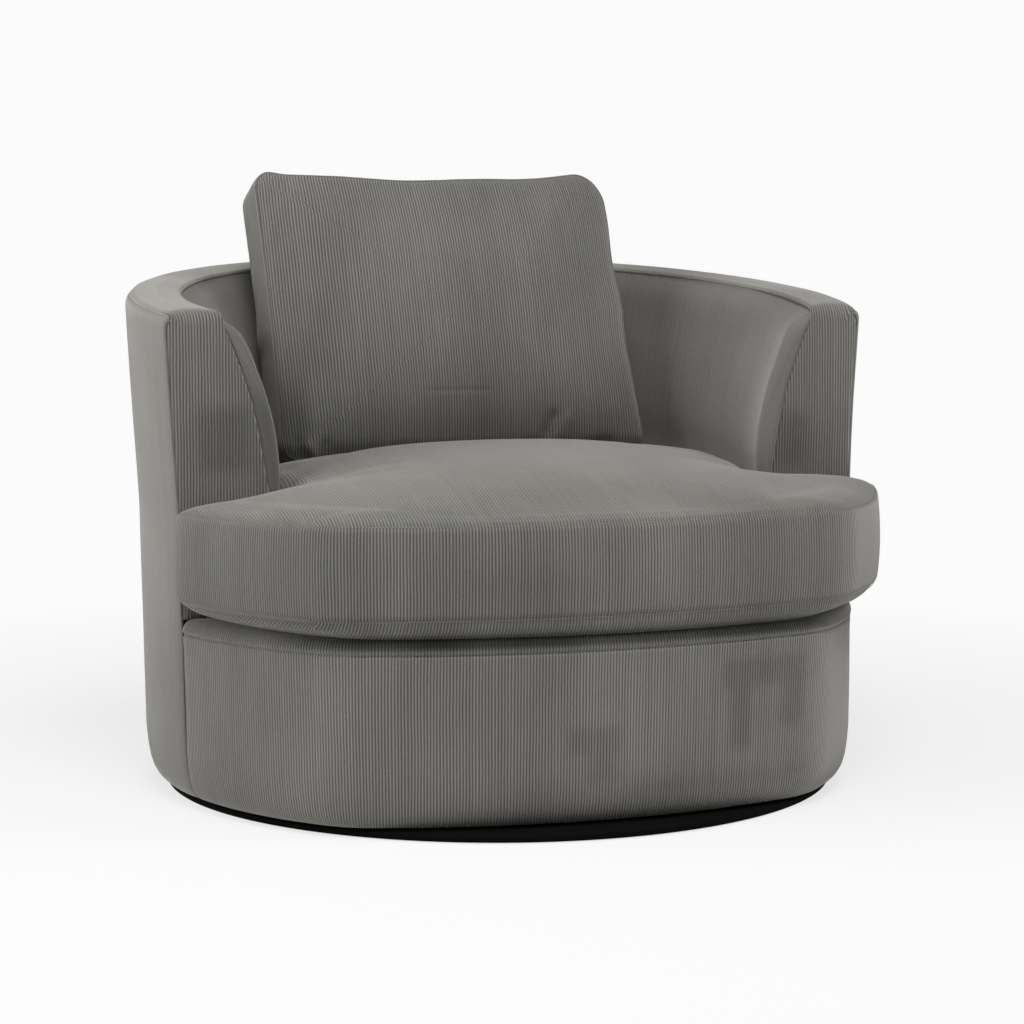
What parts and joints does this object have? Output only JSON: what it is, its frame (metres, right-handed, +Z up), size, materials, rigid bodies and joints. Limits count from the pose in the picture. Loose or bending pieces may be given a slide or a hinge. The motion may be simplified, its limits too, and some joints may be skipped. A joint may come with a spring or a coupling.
{
  "type": "swivel armchair",
  "caption": "Round swivel armchair with a barrel back, a loose wrap-round seat cushion and a loose back cushion, on a low round base.",
  "frame": {"origin": "on the floor, in the middle of the part's own box, 32 mm behind the swivel axis", "axes": "+Z up, +X to the left hand of a sitter who faces -Y, -Y towards the front of the seat"},
  "size_m": [1.048, 0.9902, 0.8603],
  "materials": {
    "cord_fabric": "warm mid-grey fine ribbed cord",
    "black_board": "painted matt black",
    "nylon": "matt black nylon",
    "steel": "zinc plated",
    "plywood": "bare",
    "fibreboard": "bare",
    "cambric": "black spun cloth",
    "foam": "open cell",
    "zip": "dark tape and coil"
  },
  "bodies": {
    "base": {"base_disc": "black_board", "glide_1": "nylon", "glide_2": "nylon", "glide_3": "nylon", "glide_4": "nylon", "glide_5": "nylon", "glide_6": "nylon", "bearing_lower_plate": "steel", "lower_screw_1": "steel", "lower_screw_2": "steel", "lower_screw_3": "steel", "lower_screw_4": "steel", "king_pin": "steel", "retaining_washer": "steel", "pin_nut": "steel"},
    "bearing_cage": {"ball_ring": "steel"},
    "chair": {"bearing_upper_plate": "steel", "upper_bolt_1": "steel", "upper_bolt_2": "steel", "upper_bolt_3": "steel", "upper_bolt_4": "steel", "bottom_panel": "plywood", "dust_cover": "cambric", "front_rail": "plywood", "seat_rail": "plywood", "top_rail": "plywood", "upright_front_right": "plywood", "upright_front_left": "plywood", "upright_side_right": "plywood", "upright_side_left": "plywood", "upright_back_right": "plywood", "upright_back_left": "plywood", "seat_spring_1": "steel", "seat_spring_2": "steel", "seat_spring_3": "steel", "seat_spring_4": "steel", "seat_spring_5": "steel", "seat_deck": "cambric", "outer_board": "fibreboard", "inner_board": "fibreboard", "inner_back": "cord_fabric", "outer_cover": "cord_fabric", "rim_cap": "cord_fabric", "front_apron": "cord_fabric", "arm_front_right": "cord_fabric", "arm_front_left": "cord_fabric"},
    "seat_cushion": {"seat_cushion_cover": "cord_fabric", "seat_cushion_foam": "foam", "seat_cushion_zip": "zip"},
    "seat_slider": {"seat_zip_slider": "steel"},
    "back_cushion": {"back_cushion_cover": "cord_fabric", "back_cushion_filling": "foam", "back_cushion_zip": "zip"},
    "back_slider": {"back_zip_slider": "steel"}
  },
  "joints": [
    {"name": "swivel", "type": "hinge", "parent": "base", "child": "chair", "pos_m": [0, -0.032, 0.025], "axis": [0, 0, 1], "continuous": true},
    {"name": "ball_ring_roll", "type": "hinge", "parent": "base", "child": "bearing_cage", "pos_m": [0, -0.032, 0.025], "axis": [0, 0, 1], "continuous": true},
    {"name": "seat_cushion_lift", "type": "slide", "parent": "chair", "child": "seat_cushion", "axis": [0, 0, 1], "range_m": [0, 0.46]},
    {"name": "back_cushion_lift", "type": "slide", "parent": "seat_cushion", "child": "back_cushion", "axis": [0, 0, 1], "range_m": [0, 0.35]},
    {"name": "seat_zip", "type": "hinge", "parent": "seat_cushion", "child": "seat_slider", "pos_m": [0, -0.032, 0.345], "axis": [0, 0, 1], "range_deg": [-70, 0]},
    {"name": "back_zip", "type": "slide", "parent": "back_cushion", "child": "back_slider", "axis": [1, 0, 0], "range_m": [0, 0.4]}
  ],
  "couplings": [
    {"joint": "ball_ring_roll", "follows": "swivel", "ratio": 0.5}
  ]
}
